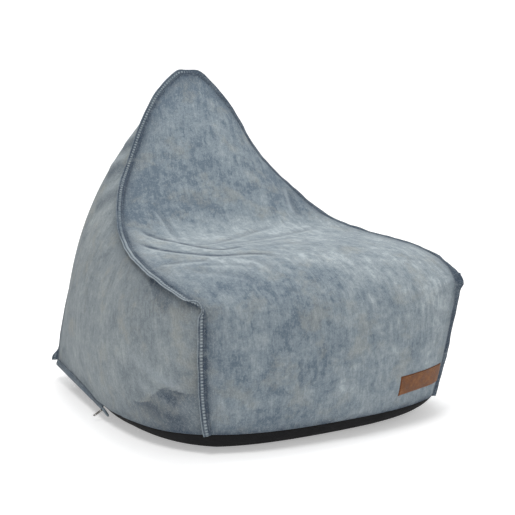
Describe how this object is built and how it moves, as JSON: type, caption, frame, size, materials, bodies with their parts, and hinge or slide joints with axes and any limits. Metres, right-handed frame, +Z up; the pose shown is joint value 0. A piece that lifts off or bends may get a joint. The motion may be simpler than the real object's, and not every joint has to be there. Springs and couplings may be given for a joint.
{
  "type": "bean bag chair",
  "caption": "Lounge bean bag chair with a pointed back and a hollowed seat, in washed denim with flanged seams, a zipped cover, a black base fabric, an inner liner and bead fill.",
  "frame": {"origin": "bottom centre of the chair, on the floor under the middle of its bounding box", "axes": "+X across the chair towards the side that carries the leather label, -Y the way the sitter faces, +Z up"},
  "size_m": [0.8764, 0.9753, 0.8776],
  "materials": {
    "denim": "matte",
    "denim_seam": "matte",
    "thread": "matte",
    "label_thread": "matte",
    "base_fabric": "matte",
    "leather": "satin",
    "liner_fabric": "matte",
    "beads": "matte",
    "zip_tape": "matte",
    "zip_nylon": "satin",
    "zip_metal": "satin"
  },
  "bodies": {
    "chair": {"back_panel": "denim", "base_panel": "base_fabric", "bead_fill": "beads", "inner_liner": "liner_fabric", "label_stitching": "label_thread", "leather_label": "leather", "left_corner_seam": "denim_seam", "left_front_seam": "denim_seam", "left_rear_seam": "denim_seam", "left_side_panel": "denim", "left_topstitching": "thread", "liner_zip_front_stop": "zip_metal", "liner_zip_lower_coil": "zip_nylon", "liner_zip_lower_tape": "zip_tape", "liner_zip_rear_stop": "zip_metal", "liner_zip_upper_coil": "zip_nylon", "liner_zip_upper_tape": "zip_tape", "right_corner_seam": "denim_seam", "right_front_seam": "denim_seam", "right_rear_seam": "denim_seam", "right_side_panel": "denim", "right_topstitching": "thread", "seat_panel": "denim", "top_seam": "denim_seam", "zip_front_stop": "zip_metal", "zip_garage": "denim", "zip_lower_coil": "zip_nylon", "zip_lower_tape": "zip_tape", "zip_placket": "denim", "zip_rear_stop": "zip_metal", "zip_upper_coil": "zip_nylon", "zip_upper_tape": "zip_tape"},
    "liner_slider": {"liner_zip_slider": "zip_metal"},
    "cover_pull_tab": {"zip_pull_tab": "zip_metal"},
    "cover_slider": {"zip_slider": "zip_metal"}
  },
  "joints": [
    {"name": "cover_zip", "type": "slide", "parent": "chair", "child": "cover_slider", "axis": [0.0923, 0.9938, 0.0615], "range_m": [0, 0.385]},
    {"name": "pull_tab_swing", "type": "hinge", "parent": "cover_slider", "child": "cover_pull_tab", "pos_m": [-0.41275, -0.00782, 0.02669], "axis": [0.521, 0.0045, -0.8536], "range_deg": [-70, 70]},
    {"name": "liner_zip", "type": "slide", "parent": "chair", "child": "liner_slider", "axis": [1, 0, 0], "range_m": [0, 0.282]}
  ]
}
